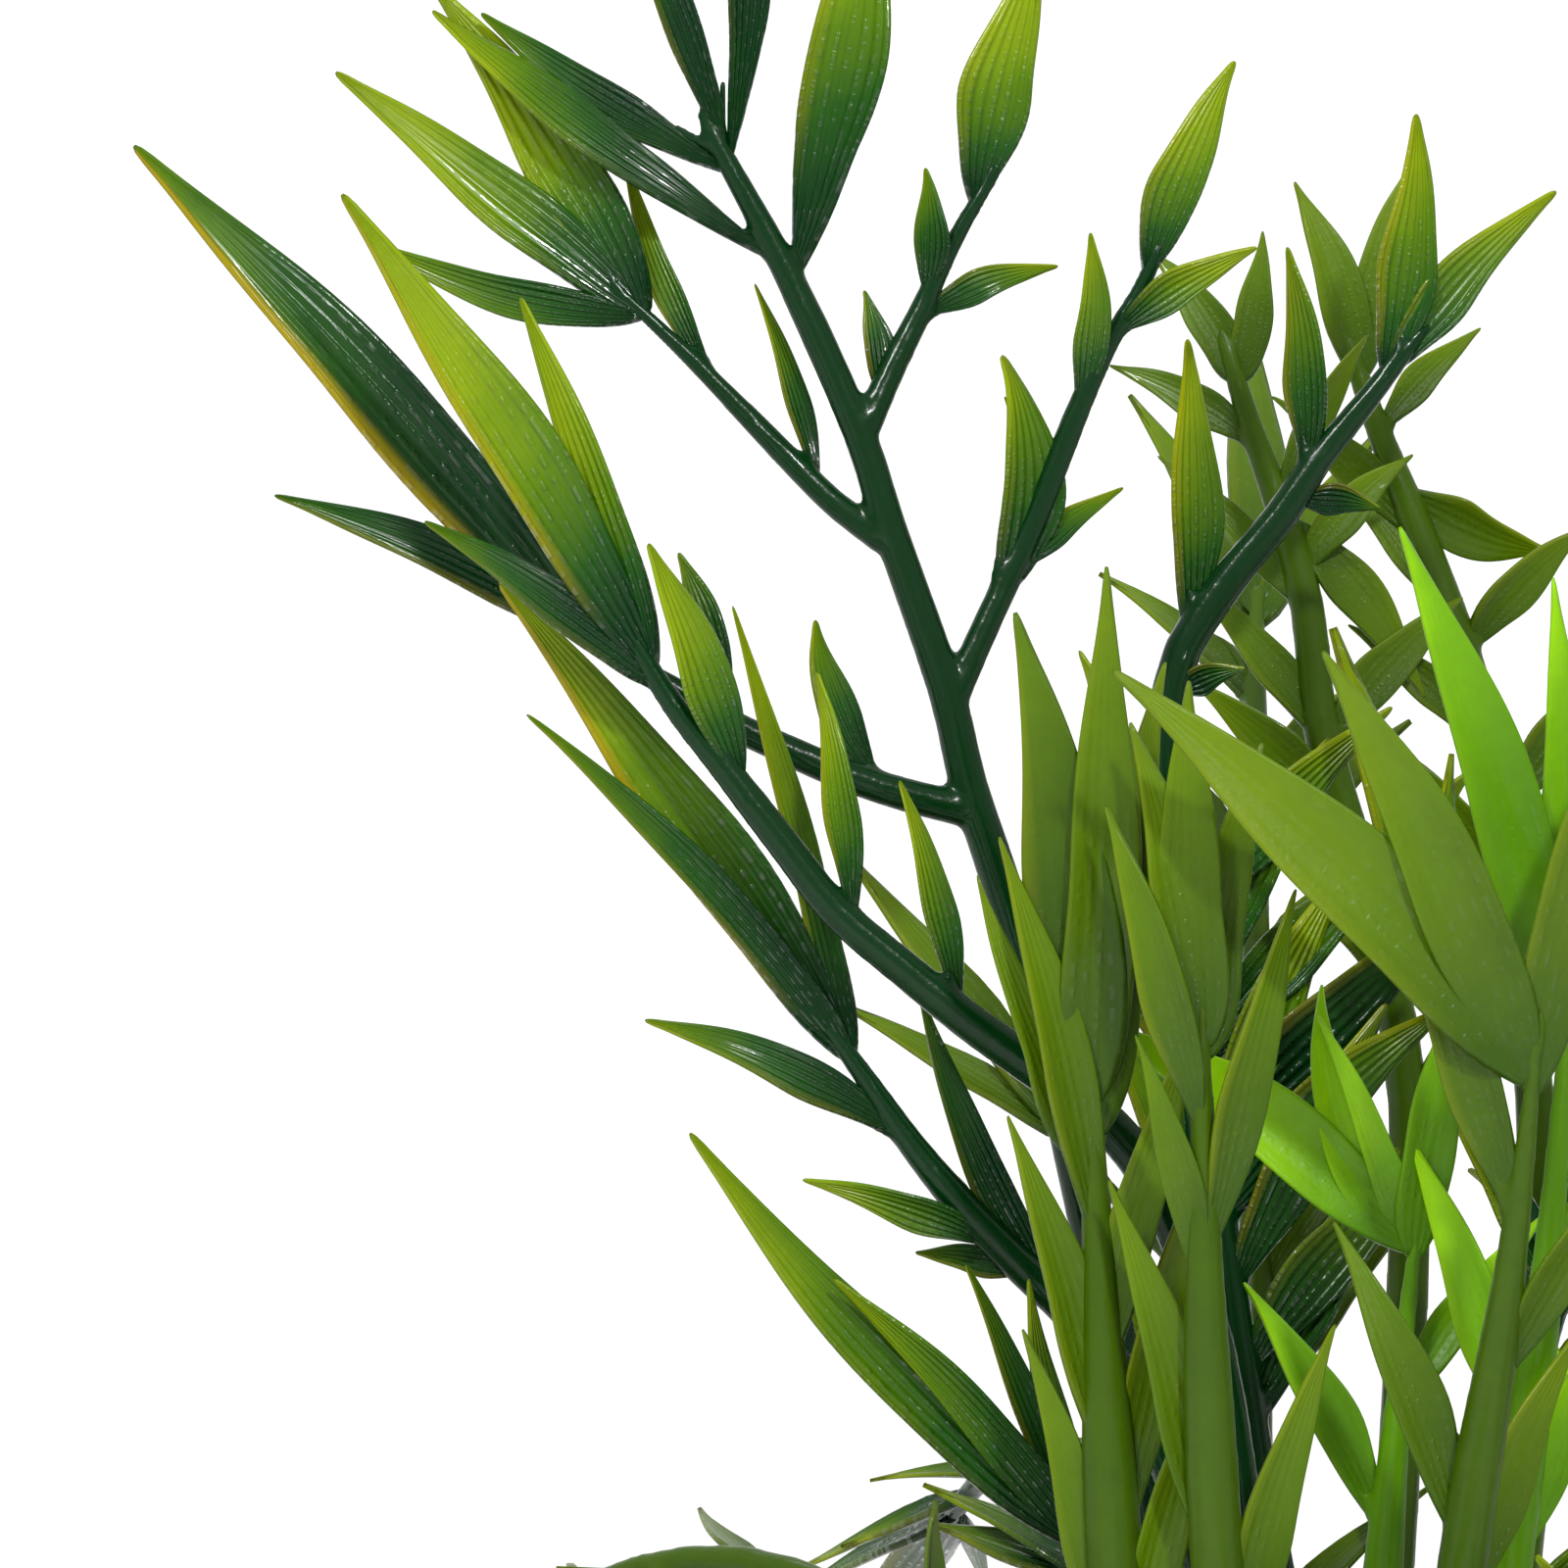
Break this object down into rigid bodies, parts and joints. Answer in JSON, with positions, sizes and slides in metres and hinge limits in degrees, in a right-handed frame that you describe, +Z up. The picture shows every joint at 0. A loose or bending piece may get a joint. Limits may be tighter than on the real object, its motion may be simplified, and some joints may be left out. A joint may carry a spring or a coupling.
{
  "type": "plastic aquarium fern on driftwood",
  "caption": "Moulded plastic fern with feathered leaf sprays, planted in drilled holes along a flat-bottomed piece of driftwood.",
  "frame": {"origin": "centre of the driftwood's sawn flat underside, on the surface it stands on", "axes": "+Z up, +X along the driftwood towards its raised arm, the sprays fanning out in the XZ plane and all round"},
  "size_m": [0.1806, 0.1452, 0.147],
  "materials": {
    "dark_plastic": "dark blue-green moulded plastic, glossy, fading to yellow-green at the blade tips",
    "olive_plastic": "olive-green moulded plastic, semi-gloss",
    "lime_plastic": "bright lime-green moulded plastic, semi-gloss",
    "driftwood": "weathered bare wood, matte, grain standing proud"
  },
  "bodies": {
    "root": {"tall_stem": "dark_plastic", "tall_stem_branch_left": "dark_plastic", "tall_stem_branch_low": "dark_plastic", "tall_stem_branch_right": "dark_plastic", "tall_stem_branch_mid": "dark_plastic", "front_left_sprig": "dark_plastic", "low_left_sprig": "dark_plastic", "lowest_left_sprig": "dark_plastic", "back_right_dark_sprig": "dark_plastic", "right_low_stem": "dark_plastic", "right_low_stem_branch": "dark_plastic", "right_high_stem": "dark_plastic", "right_high_stem_branch": "dark_plastic", "right_front_stem": "dark_plastic", "right_front_stem_branch": "dark_plastic", "back_right_low_stem": "dark_plastic", "back_right_low_stem_branch": "dark_plastic", "back_left_stem": "dark_plastic", "left_low_stem": "dark_plastic", "front_left_low_stem": "dark_plastic", "front_olive_sprig": "olive_plastic", "front_centre_sprig": "olive_plastic", "front_right_sprig": "olive_plastic", "back_olive_sprig": "olive_plastic", "back_far_sprig": "olive_plastic", "right_back_stem": "olive_plastic", "right_back_stem_branch": "olive_plastic", "back_tall_stem": "olive_plastic", "back_tall_stem_branch": "olive_plastic", "back_low_stem": "olive_plastic", "front_right_low_stem": "olive_plastic", "lime_upright_sprig": "lime_plastic", "lime_low_sprig": "lime_plastic", "right_mid_stem": "lime_plastic", "right_mid_stem_branch": "lime_plastic", "front_low_stem": "lime_plastic", "driftwood_trunk": "driftwood", "driftwood_arm_raised": "driftwood", "driftwood_arm_stub": "driftwood", "driftwood_root_front": "driftwood", "driftwood_root_back": "driftwood"}
  },
  "joints": []
}
